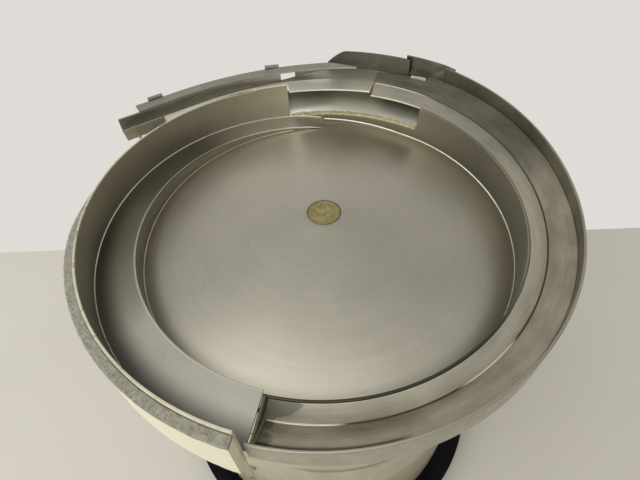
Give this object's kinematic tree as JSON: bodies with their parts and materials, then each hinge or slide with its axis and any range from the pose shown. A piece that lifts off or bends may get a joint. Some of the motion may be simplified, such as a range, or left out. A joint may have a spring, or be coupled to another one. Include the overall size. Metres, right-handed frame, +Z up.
{
  "type": "vibratory bowl feeder",
  "caption": "Stepped sheet-metal bowl with an inner spiral ramp, an outer V track and a side outlet, on a leaf-spring electromagnetic drive in a round housing.",
  "frame": {"origin": "on the bowl axis at floor level, at the centre of the circle of the four base holes", "axes": "+Z up along the bowl axis; +Y away from the side that faces the user; +X to the right; the outlet leaves at the back left"},
  "size_m": [0.4791, 0.49, 0.512],
  "materials": {
    "floor_steel": "brushed",
    "plug_rubber": "matte",
    "bolt_steel": "satin",
    "bowl_steel": "satin",
    "ramp_steel": "brushed",
    "wall_steel": "satin",
    "flank_steel": "worn",
    "ivory_coat": "gloss",
    "damping_coat": "rough",
    "rail_steel": "worn",
    "dark_steel": "worn",
    "lip_steel": "bright",
    "drive_plate": "machined",
    "spring_steel": "satin",
    "cast_body": "cast",
    "core_iron": "laminated",
    "coil_wrap": "taped",
    "black_plate": "gloss",
    "foot_rubber": "matte",
    "gland_plastic": "matte",
    "earth_brass": "machined"
  },
  "bodies": {
    "base": {"base_plate": "black_plate", "rubber_feet": "foot_rubber", "drive_body": "cast_body", "body_bolts": "bolt_steel", "leaf_springs": "spring_steel", "lower_clamp_plates": "drive_plate", "lower_spring_spacers": "drive_plate", "lower_spring_bolts": "bolt_steel", "magnet_core": "core_iron", "magnet_coil": "coil_wrap", "core_clamps": "drive_plate", "core_bolts": "bolt_steel", "housing_ring": "drive_plate", "drive_housing": "ivory_coat", "housing_screws": "bolt_steel", "seam_strip": "drive_plate", "seam_screws": "bolt_steel", "cable_gland": "gland_plastic", "gland_nut": "gland_plastic", "earth_stud": "earth_brass"},
    "bowl_carrier": {"centre_bolt": "bolt_steel"},
    "bowl_unit": {"bowl_floor": "floor_steel", "floor_apron": "floor_steel", "centre_plug": "plug_rubber", "upper_spring_bolts": "bolt_steel", "armature_bolts": "bolt_steel", "bowl_hub": "bowl_steel", "bowl_base_plate": "bowl_steel", "ramp_riser": "bowl_steel", "step_plate": "bowl_steel", "return_tray": "bowl_steel", "support_ribs": "bowl_steel", "inner_ramp": "ramp_steel", "inner_guide_strip": "ramp_steel", "outlet_track": "ramp_steel", "spiral_wall": "wall_steel", "track_inner_flank": "flank_steel", "track_outer_flank": "flank_steel", "bowl_skirt": "ivory_coat", "outer_wall": "ivory_coat", "rear_skirt": "ivory_coat", "damping_layer": "damping_coat", "outlet_rail": "rail_steel", "rail_lugs": "rail_steel", "outlet_brackets": "rail_steel", "outlet_near_wall": "dark_steel", "guard_plate": "dark_steel", "lap_plate": "dark_steel", "wear_lip": "lip_steel", "drive_top_plate": "drive_plate", "bowl_spacer": "drive_plate", "armature_bracket": "drive_plate", "upper_clamp_plates": "drive_plate", "upper_spring_spacers": "drive_plate", "armature": "core_iron"}
  },
  "joints": [
    {"name": "bowl_lift", "type": "slide", "parent": "base", "child": "bowl_carrier", "axis": [0, 0, 1], "range_m": [-0.0003, 0.0003], "deforming": ["leaf_springs"]},
    {"name": "bowl_twist", "type": "hinge", "parent": "bowl_carrier", "child": "bowl_unit", "pos_m": [0, 0, 0], "axis": [0, 0, 1], "range_deg": [-0.3, 0.3], "stiffness_Nm_per_rad": 20000}
  ],
  "couplings": [
    {"joint": "bowl_lift", "follows": "bowl_twist", "m_per_rad": 0.0487}
  ]
}
